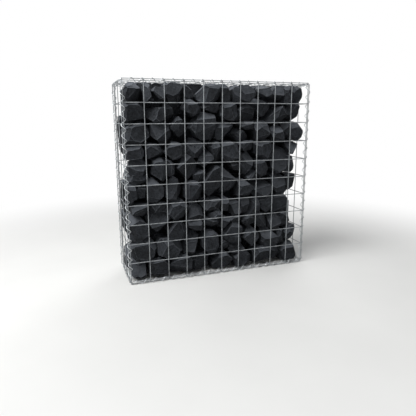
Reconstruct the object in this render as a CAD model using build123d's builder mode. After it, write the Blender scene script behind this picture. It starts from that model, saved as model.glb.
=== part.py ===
# Gabion wall: one free-standing basket of welded galvanised mesh, laced along its
# twelve edges with spiral binders and filled by hand with angular quarried stone.
# Millimetres, +Z up. The origin is on the ground under the middle of the basket,
# +X runs along the wall and the face that is seen looks toward -Y.
from build123d import *

import itertools
import math
import os
import random

import numpy as np

os.makedirs("parts", exist_ok=True)

# Mesh
mesh = 100.0            # spacing of the mesh wires, centre to centre
bays_long = 10          # squares along the wall
bays_high = 10          # squares up the wall
bays_deep = 3           # squares through the wall
mesh_wire = 4.0         # thickness of a mesh wire
panel_gap = 0.3         # clearance between a panel and the panels it laps

# Spiral binders
binder_wire = 3.5       # thickness of the binder wire
binder_slack = 0.9      # play of the coil round the two edge wires, on the radius
binder_turns = 2        # turns in one square of the mesh
binder_runs = 5         # straight runs in one turn
binder_sides = 3        # sides of the bar that stands for the round wire
binder_gap = 0.3        # clearance where the coil hangs on a panel's edge wire
binder_lead = 0.843     # turns from corner to start: the coil then lies inside at each cross wire
upright_setback = 6.0   # from a corner to the end of an upright coil
level_setback = 17.0    # from a corner to the end of a level coil

# Stone fill
stone_gap = 0.3         # clearance between stones that bear on each other
mesh_clearance = 0.3    # clearance between the stones and the mesh
binder_clearance = 1.0  # clearance between the stones and the binders
stone_tilt = 7.0        # largest tilt of a split side, degrees
stone_swell = 1.13      # how much larger a block is than the face that shows of it
neighbour_reach = 1.3   # stones this many mean sizes apart, or more, don't meet
face_depth = 0.46       # share of the wall's depth that the stones of the face take
depth_wander = 0.07     # how far a stone ends short of that or beyond, a share too
rear_columns = 7        # stones along one course of the rear layer
rear_courses = 6        # courses in the rear layer
rear_wander = 0.14      # how far a rear stone strays from its place, in stone sizes
rear_stagger = 0.1      # how far a rear course is shifted, and the next one back, in stone sizes
rear_smallest = 0.9     # size of the smallest rear stones, in mean sizes
rear_largest = 1.15     # size of the largest
fill_seed = 11          # seed for the tilts and for the rear stones
facet_slope = 48.0      # angle between a stone's front and a facet broken off it, degrees
facet_share = 0.7       # most that one facet takes of the front, as a share of its breadth
break_seed = 4          # seed for the breaks that aren't listed
corners = (45, 135, 225, 315)   # bearings of a block's corners from +X, degrees
corner_wander = 20.0            # how far a random break strays from them
random_split = (1.0, 1.8)       # depths of a random corner split, in hundredths of the face
random_facet = (1.6, 2.6)       # widths of a random facet of the face stones, the same way
rear_facet = (1.5, 3.5)         # widths of a facet of the rear stones

# How a stone lies: how far its face leans back, in degrees, and how deep it is set
SLOPED = (24.0, 0.0)
UPRIGHT = (4.0, 0.0)
OVERHUNG = (-14.0, 4.0)
SUNK = (-6.0, 34.0)

length = bays_long * mesh
height = bays_high * mesh
depth = bays_deep * mesh
lap = 1.5 * mesh_wire + panel_gap
pitch = mesh / binder_turns
binder_bar = 0.6 * binder_wire
inner = mesh_wire + mesh_clearance
bevel = math.sqrt(0.5)  # share along each side of a plane that cuts off an edge of the basket
tiny = 1e-6             # what counts as no distance at all
near_plane = 1e-3       # how near to a plane a point counts as on it
facing_out = 0.6        # how far a side has to face outwards to count as the front

# The stones of the seen face, course by course from the top. For each, its middle along
# and up the face, its width and its height, all in hundredths of the face, and its lie.
face_stones = {
    "course_10": [
        (5.4, 94.4, 9.2, 9.6, UPRIGHT), (12.4, 95.2, 4.6, 8.8, SLOPED),
        (17.4, 95.2, 6.6, 6.8, UPRIGHT), (25.6, 95.2, 9.6, 9.6, SLOPED),
        (34.2, 95.4, 7.0, 6.2, SUNK), (43.8, 94.9, 12.6, 9.4, UPRIGHT),
        (53.0, 94.8, 4.8, 9.0, UPRIGHT), (58.9, 94.8, 4.8, 8.6, SLOPED),
        (65.4, 94.7, 8.2, 8.6, UPRIGHT), (75.8, 96.4, 9.8, 6.8, SLOPED),
        (84.2, 94.6, 6.6, 9.0, OVERHUNG), (89.6, 94.8, 4.2, 9.4, UPRIGHT),
        (95.4, 94.8, 8.0, 9.6, OVERHUNG),
    ],
    "course_9": [
        (5.8, 85.8, 9.4, 8.4, OVERHUNG),
        (15.6, 86.2, 9.4, 9.6, UPRIGHT), (22.8, 85.2, 5.4, 9.0, SUNK),
        (32.6, 86.8, 13.6, 11.2, UPRIGHT), (44.2, 88.0, 8.0, 4.6, OVERHUNG),
        (54.4, 85.8, 8.6, 9.2, UPRIGHT), (65.6, 84.8, 9.4, 9.0, SLOPED),
        (74.6, 88.6, 7.4, 9.4, SLOPED), (83.4, 84.2, 12.8, 8.0, UPRIGHT),
        (94.0, 85.8, 6.8, 9.0, OVERHUNG),
    ],
    "course_8": [
        (6.8, 76.2, 12.4, 12.2, UPRIGHT), (18.7, 75.4, 9.6, 10.0, SLOPED),
        (28.3, 78.6, 8.8, 10.8, UPRIGHT), (41.0, 78.4, 11.6, 12.8, UPRIGHT),
        (52.4, 76.8, 9.0, 10.8, UPRIGHT), (61.0, 73.6, 10.4, 8.6, SLOPED),
        (65.4, 79.0, 7.8, 4.6, OVERHUNG), (74.2, 75.6, 7.6, 9.4, UPRIGHT),
        (83.6, 74.2, 6.4, 8.8, UPRIGHT), (89.2, 75.6, 4.6, 9.4, OVERHUNG),
        (95.4, 75.2, 7.6, 9.8, UPRIGHT),
    ],
    "course_7": [
        (5.4, 66.0, 8.8, 6.8, UPRIGHT), (14.8, 66.2, 8.6, 8.0, OVERHUNG),
        (25.4, 66.4, 9.6, 8.0, UPRIGHT), (35.8, 68.2, 9.2, 9.8, SLOPED),
        (42.8, 61.2, 8.6, 10.6, SLOPED), (48.2, 65.4, 4.6, 9.4, OVERHUNG),
        (55.8, 65.2, 8.6, 9.8, UPRIGHT), (64.4, 68.0, 7.8, 4.8, UPRIGHT),
        (75.8, 65.0, 9.2, 10.0, UPRIGHT), (86.2, 60.4, 9.6, 13.6, SLOPED),
        (94.0, 66.8, 5.8, 6.6, UPRIGHT),
    ],
    "course_6": [
        (7.0, 59.0, 12.4, 9.4, SLOPED), (5.8, 52.4, 8.8, 5.0, OVERHUNG),
        (17.2, 57.6, 7.0, 11.6, UPRIGHT), (22.8, 57.6, 4.6, 8.0, OVERHUNG),
        (30.6, 57.2, 11.6, 13.4, UPRIGHT), (38.8, 53.4, 6.0, 5.6, SLOPED),
        (59.4, 57.6, 4.8, 4.8, SLOPED), (65.6, 59.0, 8.8, 11.0, UPRIGHT),
        (68.6, 52.4, 5.6, 5.6, SLOPED), (75.0, 55.4, 7.8, 10.0, UPRIGHT),
        (93.2, 56.6, 5.4, 8.6, OVERHUNG),
    ],
    "course_5": [
        (2.8, 45.0, 4.4, 9.6, UPRIGHT), (7.6, 46.4, 5.4, 6.6, SLOPED),
        (14.4, 46.2, 8.0, 11.6, UPRIGHT), (25.2, 46.8, 10.2, 12.8, UPRIGHT),
        (35.4, 45.2, 9.4, 9.6, UPRIGHT), (45.8, 49.0, 9.0, 15.8, UPRIGHT),
        (55.0, 49.8, 8.8, 13.2, OVERHUNG), (65.0, 44.6, 7.6, 8.8, UPRIGHT),
        (75.6, 44.6, 9.4, 9.4, SLOPED), (86.4, 46.4, 8.2, 10.0, SLOPED),
        (93.4, 46.4, 5.8, 8.8, SUNK),
    ],
    "course_4": [
        (7.4, 36.4, 9.2, 6.2, UPRIGHT), (15.8, 37.4, 8.4, 5.4, OVERHUNG),
        (26.4, 35.8, 12.8, 10.6, UPRIGHT), (36.6, 33.6, 7.8, 9.4, SLOPED),
        (45.4, 37.2, 9.2, 5.4, SLOPED), (47.8, 31.8, 6.2, 5.0, UPRIGHT),
        (52.6, 35.4, 4.4, 9.0, OVERHUNG), (58.6, 34.0, 8.2, 10.0, SLOPED),
        (64.6, 34.8, 4.6, 8.6, UPRIGHT), (70.4, 33.8, 7.6, 8.4, OVERHUNG),
        (77.8, 34.6, 7.0, 8.4, UPRIGHT), (86.8, 34.8, 10.4, 10.0, SUNK),
    ],
    "course_3": [
        (5.6, 27.2, 8.8, 12.8, UPRIGHT), (17.0, 30.0, 12.8, 9.6, SLOPED),
        (26.4, 24.6, 9.8, 9.0, UPRIGHT), (36.6, 26.6, 8.2, 5.4, UPRIGHT),
        (45.2, 27.0, 9.2, 4.8, OVERHUNG), (53.0, 26.6, 5.6, 6.0, UPRIGHT),
        (57.6, 22.8, 9.2, 6.8, UPRIGHT), (60.4, 28.2, 7.6, 4.0, UPRIGHT),
        (67.6, 26.0, 7.4, 6.8, OVERHUNG), (75.8, 25.6, 8.2, 7.4, OVERHUNG),
        (84.6, 24.6, 7.2, 9.4, SLOPED), (91.2, 24.6, 6.2, 8.4, SUNK),
    ],
    "course_2": [
        (8.0, 14.6, 12.2, 10.0, UPRIGHT), (21.6, 14.8, 12.2, 9.8, UPRIGHT),
        (34.6, 15.4, 9.8, 10.0, SLOPED), (46.2, 15.6, 11.4, 11.4, UPRIGHT),
        (53.8, 12.8, 4.8, 6.8, OVERHUNG), (57.4, 17.2, 8.4, 5.6, UPRIGHT),
        (60.2, 11.2, 8.4, 6.2, SLOPED), (70.0, 16.4, 11.0, 12.2, UPRIGHT),
        (81.4, 14.8, 10.0, 10.0, UPRIGHT), (88.4, 16.0, 5.2, 8.0, OVERHUNG),
        (94.8, 15.6, 8.0, 8.4, OVERHUNG),
    ],
    "course_1": [
        (4.6, 5.2, 6.8, 8.4, SLOPED), (15.4, 5.4, 9.6, 8.4, UPRIGHT),
        (27.4, 5.0, 13.4, 9.6, UPRIGHT), (38.6, 4.4, 8.6, 8.8, SUNK),
        (52.4, 4.6, 11.8, 8.4, OVERHUNG), (64.4, 4.8, 9.4, 9.2, UPRIGHT),
        (75.6, 4.8, 9.2, 8.8, OVERHUNG), (84.4, 4.4, 7.8, 8.4, SUNK),
        (93.6, 5.4, 10.6, 9.4, UPRIGHT),
    ],
}

# How those stones are broken. For each, by its middle, the corners that are split off right
# through the layer, then the facets that are broken off its front. Each has its bearing,
# in degrees from +X, and its depth or width in hundredths of the face. The stones that
# aren't listed are broken at random.
breaks = {
    (5.4, 94.4): (((42, 2.6),), ((90, 3.2),)),
    (25.6, 95.2): (((320, 2.4),), ((-65, 3.4),)),
    (34.2, 95.4): (((52, 3.6),), ()),
    (43.8, 94.9): (((146, 3.0),), ((170, 4.2),)),
    (53.0, 94.8): (((48, 2.2),), ()),
    (58.9, 94.8): (((130, 2.4),), ()),
    (65.4, 94.7): (((40, 1.8), (310, 2.4)), ((120, 2.2),)),
    (75.8, 96.4): (((245, 2.0),), ((-70, 2.2),)),
    (84.2, 94.6): (((140, 1.8), (315, 2.6)), ()),
    (95.4, 94.8): ((), ((135, 3.8),)),
    (15.6, 86.2): (((128, 2.8),), ((130, 3.4),)),
    (32.6, 86.8): (((48, 2.0), (150, 4.2), (236, 4.0)), ((95, 3.4), (180, 3.4))),
    (65.6, 84.8): (((128, 1.8),), ((80, 2.8),)),
    (74.6, 88.6): (((46, 2.0), (218, 1.8)), ((100, 2.2),)),
    (83.4, 84.2): (((130, 4.4),), ((150, 2.6),)),
    (6.8, 76.2): (((48, 2.2), (132, 3.2)), ((110, 3.6),)),
    (18.7, 75.4): (((230, 2.0),), ()),
    (28.3, 78.6): (((40, 2.6), (140, 1.8), (225, 2.8), (315, 2.4)), ()),
    (41.0, 78.4): ((), ((170, 2.6),)),
    (52.4, 76.8): (((320, 2.8),), ((-45, 2.6),)),
    (61.0, 73.6): (((130, 2.6), (236, 2.4)), ((90, 2.4),)),
    (95.4, 75.2): (((30, 2.8), (322, 3.0)), ((110, 2.4),)),
    (25.4, 66.4): (((40, 2.0), (140, 1.8)), ()),
    (35.8, 68.2): (((130, 2.0),), ((90, 4.4),)),
    (42.8, 61.2): (((128, 2.2), (308, 3.2)), ((95, 4.0),)),
    (55.8, 65.2): (((225, 2.4),), ()),
    (86.2, 60.4): (((140, 2.8), (222, 1.8)), ((100, 3.4),)),
    (7.0, 59.0): (((40, 2.6), (320, 2.0)), ()),
    (17.2, 57.6): ((), ((95, 2.8),)),
    (30.6, 57.2): (((148, 2.8), (222, 3.4), (312, 1.8)), ((120, 3.0),)),
    (38.8, 53.4): ((), ((90, 2.6),)),
    (65.6, 59.0): (((35, 2.4), (145, 2.6), (320, 2.0)), ((100, 3.2),)),
    (75.0, 55.4): (((30, 2.2),), ((20, 2.4),)),
    (14.4, 46.2): (((315, 2.4),), ()),
    (25.2, 46.8): (((32, 2.4), (145, 2.0), (318, 3.0)), ((110, 2.2),)),
    (45.8, 49.0): (((140, 2.6), (318, 3.4), (225, 2.2)), ((100, 2.2),)),
    (55.0, 49.8): (((46, 2.6), (312, 2.4)), ((90, 3.0),)),
    (65.0, 44.6): (((42, 2.2),), ((90, 2.2),)),
    (75.6, 44.6): (((140, 2.0),), ()),
    (86.4, 46.4): (((222, 2.4),), ((100, 2.2),)),
    (26.4, 35.8): (((42, 2.2), (318, 2.2)), ()),
    (36.6, 33.6): ((), ((60, 2.2),)),
    (45.4, 37.2): ((), ((95, 2.4),)),
    (58.6, 34.0): (((222, 2.2),), ()),
    (5.6, 27.2): (((48, 2.0),), ((95, 2.6),)),
    (17.0, 30.0): (((225, 3.0), (315, 3.2)), ((-90, 2.4),)),
    (26.4, 24.6): (((46, 2.2),), ()),
    (57.6, 22.8): (((140, 1.8),), ()),
    (84.6, 24.6): (((48, 2.0), (140, 2.0)), ()),
    (8.0, 14.6): (((40, 2.2), (318, 2.4)), ()),
    (34.6, 15.4): (((140, 2.4),), ((180, 2.4),)),
    (46.2, 15.6): (((142, 2.6), (42, 2.8), (318, 2.6), (225, 1.8)), ((175, 3.0), (0, 3.4))),
    (60.2, 11.2): ((), ((90, 3.4),)),
    (70.0, 16.4): (((42, 3.2), (140, 3.0), (225, 2.6), (318, 2.8)), ()),
    (81.4, 14.8): (((45, 2.2), (315, 1.8)), ()),
    (94.8, 15.6): (((318, 2.4),), ()),
    (15.4, 5.4): (((225, 2.2),), ()),
    (27.4, 5.0): (((140, 2.2),), ()),
    (52.4, 4.6): (((146, 4.0), (40, 2.4)), ()),
    (64.4, 4.8): (((48, 2.0),), ()),
    (93.6, 5.4): (((40, 2.4), (140, 2.6)), ((90, 2.4),)),
}

chance = random.Random(fill_seed)
breaking = random.Random(break_seed)
right = Vector(1, 0, 0)
back = Vector(0, 1, 0)
up = Vector(0, 0, 1)
pieces = {}


# Spiral binders

def coil_seat(wire):
    """How a coil hangs on the outer of two edge wires: its axis, and the bearing of the wire.

    Places are given along the two panels, inwards from the edge. The wire lies straight
    out from the edge, and the coil hangs on its far side.
    """
    bearing = math.atan2(wire[1], wire[0])
    out = math.hypot(*wire) + mesh_wire / 2 + binder_gap + binder_bar - coil_radius
    return out * math.cos(bearing), out * math.sin(bearing), bearing


def binder(corner, inward, down, run, setback, wire):
    """A coil wound round the edge wires of two panels, from one setback to the other."""
    axis_inward, axis_down, bearing = coil_seat(wire)
    along = inward.cross(down)
    start = corner - along * (run / 2) + inward * axis_inward + down * axis_down
    half_run = 0.5 / binder_runs
    first_turn = bearing / (2 * math.pi) + half_run
    points = []
    for k in range(-binder_runs, int((run / pitch + 2) * binder_runs)):
        turn = first_turn + k / binder_runs
        climb = (turn + binder_lead) * pitch
        if setback <= climb <= run - setback:
            outward = inward * math.cos(2 * math.pi * turn) + down * math.sin(2 * math.pi * turn)
            points.append(start + along * climb + outward * corner_radius)
    with BuildPart() as coil:
        with BuildLine() as path:
            Polyline(*points)
        with BuildSketch(Plane(origin=path.line @ 0, z_dir=path.line % 0)):
            RegularPolygon(binder_bar, binder_sides)
        sweep(transition=Transition.RIGHT)
    return coil.part


# The outer of the two edge wires at each kind of edge, inwards along one panel and the other
upright_wire = (-lap - mesh_wire / 2, 0.0)
long_wire = (0.0, -lap - mesh_wire / 2)
short_wire = (0.0, -lap + mesh_wire / 2)

widest = math.hypot(lap + 1.5 * mesh_wire, 1.5 * mesh_wire) / 2
coil_radius = widest + binder_bar + binder_gap + binder_slack
corner_radius = coil_radius / math.cos(math.pi / binder_runs)
coil_reach = corner_radius + binder_bar

long_coil = binder(-back * (depth / 2), back, up, length, level_setback, long_wire)
short_coil = binder(-right * (length / 2), right, up, depth, level_setback, short_wire)

# The basket stands on the lowest turns of its bottom binders
ground_gap = -min(coil.bounding_box().min.Z for coil in (long_coil, short_coil))
bottom = up * ground_gap
centre = up * (ground_gap + height / 2)


def turned(part, direction):
    """The same piece on the far side of the basket, turned half round."""
    return part.rotate(Axis(centre, direction), 180)


pieces["left_front_binder"] = binder(centre - right * (length / 2) - back * (depth / 2),
                                     right, back, height, upright_setback, upright_wire)
pieces["right_back_binder"] = turned(pieces["left_front_binder"], up)
pieces["left_back_binder"] = turned(pieces["left_front_binder"], right)
pieces["right_front_binder"] = turned(pieces["left_front_binder"], back)

pieces["bottom_front_binder"] = long_coil.moved(Location(bottom))
pieces["bottom_back_binder"] = turned(pieces["bottom_front_binder"], up)
pieces["top_front_binder"] = turned(pieces["bottom_front_binder"], back)
pieces["top_back_binder"] = turned(pieces["bottom_front_binder"], right)

pieces["bottom_left_binder"] = short_coil.moved(Location(bottom))
pieces["bottom_right_binder"] = turned(pieces["bottom_left_binder"], up)
pieces["top_right_binder"] = turned(pieces["bottom_left_binder"], back)
pieces["top_left_binder"] = turned(pieces["bottom_left_binder"], right)


# Mesh panels

def mesh_panel(middle, across, along, count_across, count_along):
    """A welded panel. Its normal points outwards, and there the wires that run along it lie."""
    lift = across.cross(along) * (mesh_wire / 2)
    with BuildPart() as panel:
        with BuildSketch(Plane(origin=middle + lift, x_dir=across, z_dir=along)):
            with GridLocations(mesh, mesh, count_across + 1, 1):
                Rectangle(mesh_wire, mesh_wire)
        extrude(amount=(count_along * mesh + mesh_wire) / 2, both=True)
        with BuildSketch(Plane(origin=middle - lift, x_dir=along, z_dir=across)):
            with GridLocations(mesh, mesh, count_along + 1, 1):
                Rectangle(mesh_wire, mesh_wire)
        extrude(amount=(count_across * mesh + mesh_wire) / 2, both=True)
    return panel.part


pieces["front_panel"] = mesh_panel(centre - back * (depth / 2), right, up, bays_long, bays_high)
pieces["back_panel"] = turned(pieces["front_panel"], up)
pieces["left_end_panel"] = mesh_panel(centre - right * (length / 2 + lap), -back, up,
                                      bays_deep, bays_high)
pieces["right_end_panel"] = turned(pieces["left_end_panel"], up)
pieces["base_panel"] = mesh_panel(bottom - up * lap, back, right, bays_deep, bays_long)
pieces["lid_panel"] = turned(pieces["base_panel"], back)


# Stone fill

class Stone:
    """A block of stone: where its middle is, how large it is and how it lies."""

    def __init__(self, course, across, rise, width, tall, lie):
        self.course = course
        self.across = across
        self.rise = rise
        self.width = width * stone_swell
        self.tall = tall * stone_swell
        self.lean = lie[0] + chance.uniform(-stone_tilt, stone_tilt) / 2
        self.sunk = lie[1]
        self.turn = chance.uniform(-stone_tilt, stone_tilt)
        self.swing = chance.uniform(-stone_tilt, stone_tilt)
        self.near = 0.0
        self.far = 0.0
        self.splits = []
        self.facets = []

    def reach(self, along, upwards):
        return math.hypot(along * self.width, upwards * self.tall) / 2

    def meets(self, other):
        """Whether two stones could touch, seen square to the face."""
        apart = abs(other.across - self.across) / (self.width + other.width)
        above = abs(other.rise - self.rise) / (self.tall + other.tall)
        return max(apart, above) < neighbour_reach / 2


def parting(stone, other):
    """The plane that parts two neighbours, as its normal and its distance out."""
    along = (other.across - stone.across) / (stone.width + other.width) ** 2
    upwards = (other.rise - stone.rise) / (stone.tall + other.tall) ** 2
    size = math.hypot(along, upwards)
    along /= size
    upwards /= size
    apart = (other.across - stone.across) * along + (other.rise - stone.rise) * upwards
    share = stone.reach(along, upwards) / (stone.reach(along, upwards) + other.reach(along, upwards))
    normal = np.array((along, 0.0, upwards))
    start = stone.across * along + stone.rise * upwards
    return normal, start + apart * share - stone_gap / 2


def edge_cut(normal, corner, wire):
    """The plane that keeps the stones out of the coil along one edge."""
    axis_inward, axis_down, bearing = coil_seat(wire)
    normal = np.array(normal) * bevel
    room = (axis_inward + axis_down) * bevel + coil_reach + binder_clearance
    return normal, normal @ corner - room


def cage_sides():
    """The planes round the space that the basket leaves for the stones."""
    half_length = length / 2
    half_depth = depth / 2
    top = ground_gap + height
    sides = [(np.array((0.0, 0.0, -1.0)), lap - inner - ground_gap)]
    sides.append((np.array((0.0, 0.0, 1.0)), top + lap - inner))
    for way in (-1, 1):
        sides.append((np.array((way, 0.0, 0.0)), half_length + lap - inner))
        sides.append((np.array((0.0, way, 0.0)), half_depth - inner))
        for other in (-1, 1):
            sides.append(edge_cut((way, other, 0), (way * half_length, other * half_depth, 0),
                                  upright_wire))
        for upward, rise in ((-1, ground_gap), (1, top)):
            sides.append(edge_cut((0, way, upward), (0, way * half_depth, rise), long_wire))
            sides.append(edge_cut((way, 0, upward), (way * half_length, 0, rise), short_wire))
    return sides


def meeting_points(planes):
    """The corners of the space inside all of the planes."""
    normals = np.array([normal for normal, away in planes])
    aways = np.array([away for normal, away in planes])
    trios = np.array(list(itertools.combinations(range(len(planes)), 3)))
    trios = trios[np.abs(np.linalg.det(normals[trios])) > tiny]
    points = np.linalg.solve(normals[trios], aways[trios][..., None])[..., 0]
    return points[(points @ normals.T < aways + tiny).all(axis=1)]


def block_sides(stone, outward):
    """The six sides of a stone as it was quarried: its four edges, its face and its back."""
    middle = np.array((stone.across, (stone.near + stone.far) / 2, stone.rise))
    turn = math.radians(stone.turn)
    swing = math.radians(stone.swing)
    lean = math.radians(stone.lean)
    sides = []
    for way in (-1, 1):
        flank = np.array((math.cos(turn), way * math.sin(swing) / 2, math.sin(turn))) * way
        bed = np.array((-math.sin(turn), way * math.sin(swing) / 2, math.cos(turn))) * way
        sides.append((flank, flank @ middle + stone.width / 2))
        sides.append((bed, bed @ middle + stone.tall / 2))
    face = np.array((math.sin(swing), outward * math.cos(lean), math.sin(lean)))
    outside = stone.near if outward < 0 else stone.far
    inside = stone.far if outward < 0 else stone.near
    outside -= outward * stone.sunk
    corners = [(stone.across + p * stone.width / 2, outside, stone.rise + q * stone.tall / 2)
               for p in (-1, 1) for q in (-1, 1)]
    sides.append((face, min(face @ corner for corner in corners)))
    sides.append((np.array((0.0, -outward, 0.0)), -outward * inside))
    return sides


def across_wall(bearing):
    """A direction square to the wall's depth, at this bearing from +X."""
    return np.array((math.cos(math.radians(bearing)), 0.0, math.sin(math.radians(bearing))))


def corner_split(planes, bearing, depth):
    """The plane that takes a corner off a block right through the layer."""
    direction = across_wall(bearing)
    return direction, (meeting_points(planes) @ direction).max() - depth


def front_of(planes, points, outward):
    """The corners and the normal of the broadest side of a block that looks outwards."""
    fronts = []
    for normal, away in planes:
        on_it = points[np.abs(points @ normal - away) < near_plane]
        if normal[1] * outward > facing_out and len(on_it) > 2:
            breadth, thickness, rise = np.ptp(on_it, axis=0)
            fronts.append((breadth * rise, on_it, normal))
    return max(fronts, key=lambda front: front[0])[1:]


def front_facet(planes, outward, bearing, width):
    """The plane that breaks a facet off one side of a block's front."""
    front, normal = front_of(planes, meeting_points(planes), outward)
    within = across_wall(bearing)
    within = within - normal * (within @ normal)
    within /= np.linalg.norm(within)
    reach = front @ within
    rim = reach.max() - min(width, np.ptp(reach) * facet_share)
    start = front.mean(axis=0)
    start = start + within * (rim - start @ within)
    slope = math.radians(facet_slope)
    direction = normal * math.cos(slope) + within * math.sin(slope)
    return direction, direction @ start


def cut_stone(stone, layer, outward):
    """One block, split off along its neighbours and along the mesh, and then broken."""
    sides = block_sides(stone, outward)
    quarried = meeting_points(sides)
    neighbours = [other for other in layer if other is not stone and stone.meets(other)]
    cuts = [parting(stone, other) for other in neighbours] + cage_sides()
    sides += [(normal, away) for normal, away in cuts if (quarried @ normal).max() > away]
    for bearing, deep in stone.splits:
        sides.append(corner_split(sides, bearing, deep / 100 * length))
    for bearing, wide in stone.facets:
        sides.append(front_facet(sides, outward, bearing, wide / 100 * length))
    with BuildPart() as block:
        ConvexPolyhedron([tuple(point) for point in meeting_points(sides)])
    return block.part


def lay(layer, prefix, outward):
    """Cut every stone of a layer and keep each course as one piece."""
    courses = {}
    for stone in layer:
        courses.setdefault(stone.course, []).append(cut_stone(stone, layer, outward))
    for course, stones in courses.items():
        pieces[f"{prefix}_{course}"] = Compound(children=stones)


def random_breaks():
    """A corner split and a facet along the top or the left, for a stone that isn't listed."""
    corner = breaking.choice(corners) + breaking.uniform(-corner_wander, corner_wander)
    split = (corner, breaking.uniform(*random_split))
    side = breaking.choice((80, 100, 170)) + breaking.uniform(-15, 15)
    return [split], [(side, breaking.uniform(*random_facet))]


face_layer = []
for course, stones in face_stones.items():
    for across, rise, width, tall, lie in stones:
        stone = Stone(course, (across / 100 - 0.5) * length, ground_gap + rise / 100 * height,
                      width / 100 * length, tall / 100 * height, lie)
        stone.near = inner - depth / 2
        stone.far = (face_depth + chance.uniform(-depth_wander, depth_wander) - 0.5) * depth
        stone.splits, stone.facets = breaks.get((across, rise), random_breaks())
        face_layer.append(stone)

rear_layer = []
block_long = length / rear_columns
block_tall = height / rear_courses
for row in range(rear_courses):
    for column in range(rear_columns):
        across = (column + 0.5 + chance.uniform(-rear_wander, rear_wander)) * block_long - length / 2
        across += block_long * (rear_stagger if row % 2 else -rear_stagger)
        rise = (row + 0.5 + chance.uniform(-rear_wander, rear_wander)) * block_tall
        rise += ground_gap
        width = block_long * chance.uniform(rear_smallest, rear_largest)
        tall = block_tall * chance.uniform(rear_smallest, rear_largest)
        lie = chance.choice((SLOPED, UPRIGHT, UPRIGHT, OVERHUNG))
        stone = Stone(f"course_{row + 1}", across, rise, width, tall, lie)
        stone.near = stone_gap + max(other.far for other in face_layer if stone.meets(other))
        stone.far = depth / 2 - inner
        for corner in breaking.sample(corners, 2):
            bearing = corner + breaking.uniform(-corner_wander, corner_wander)
            stone.facets.append((bearing, breaking.uniform(*rear_facet)))
        rear_layer.append(stone)

lay(face_layer, "face", -1)
lay(rear_layer, "rear", 1)

for label, piece in pieces.items():
    piece.label = label
    export_step(piece, f"parts/{label}.step")
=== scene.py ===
"""Dresses a gabion wall: welded galvanised mesh, spiral binders and a fill of broken basalt."""

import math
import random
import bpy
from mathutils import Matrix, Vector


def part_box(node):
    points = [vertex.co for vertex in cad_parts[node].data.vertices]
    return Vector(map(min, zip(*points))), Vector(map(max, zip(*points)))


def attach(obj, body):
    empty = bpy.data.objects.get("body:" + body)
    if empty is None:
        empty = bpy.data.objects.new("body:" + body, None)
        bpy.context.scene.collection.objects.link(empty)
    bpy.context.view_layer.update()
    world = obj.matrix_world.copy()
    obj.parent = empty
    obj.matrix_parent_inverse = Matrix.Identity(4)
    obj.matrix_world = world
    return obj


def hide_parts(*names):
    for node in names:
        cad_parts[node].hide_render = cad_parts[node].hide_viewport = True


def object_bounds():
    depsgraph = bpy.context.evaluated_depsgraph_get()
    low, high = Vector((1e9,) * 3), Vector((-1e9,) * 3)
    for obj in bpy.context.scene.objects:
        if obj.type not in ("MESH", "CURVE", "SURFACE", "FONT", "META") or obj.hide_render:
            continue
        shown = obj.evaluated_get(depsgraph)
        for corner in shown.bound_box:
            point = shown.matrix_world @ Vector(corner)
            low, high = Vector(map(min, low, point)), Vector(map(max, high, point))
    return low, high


bl_info = {
    "name": "Gabion Wall",
    "version": (1, 0, 0),
    "blender": (4, 5, 0),
    "location": "3D View > Sidebar > Gabion",
    "description": "Welded mesh, spiral binders and broken stone around a packed gabion",
    "category": "Object",
}

import bmesh
import bpy
from mathutils import Matrix, Vector, noise

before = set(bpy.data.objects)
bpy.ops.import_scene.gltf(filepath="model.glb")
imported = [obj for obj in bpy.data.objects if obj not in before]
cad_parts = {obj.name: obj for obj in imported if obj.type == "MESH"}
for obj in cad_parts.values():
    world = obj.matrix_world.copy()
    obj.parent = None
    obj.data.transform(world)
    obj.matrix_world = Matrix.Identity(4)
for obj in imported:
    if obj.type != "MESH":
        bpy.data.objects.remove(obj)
cad_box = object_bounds()

RIGHT = Vector((1, 0, 0))
BACK = Vector((0, 1, 0))
UP = Vector((0, 0, 1))
PANELS = (
    "front_panel", "back_panel", "left_end_panel", "right_end_panel", "base_panel", "lid_panel",
)
FACE_COURSES = sorted(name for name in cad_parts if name.startswith("face_course"))
REAR_COURSES = sorted(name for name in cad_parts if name.startswith("rear_course"))
face_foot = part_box("front_panel")[0].z

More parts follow.
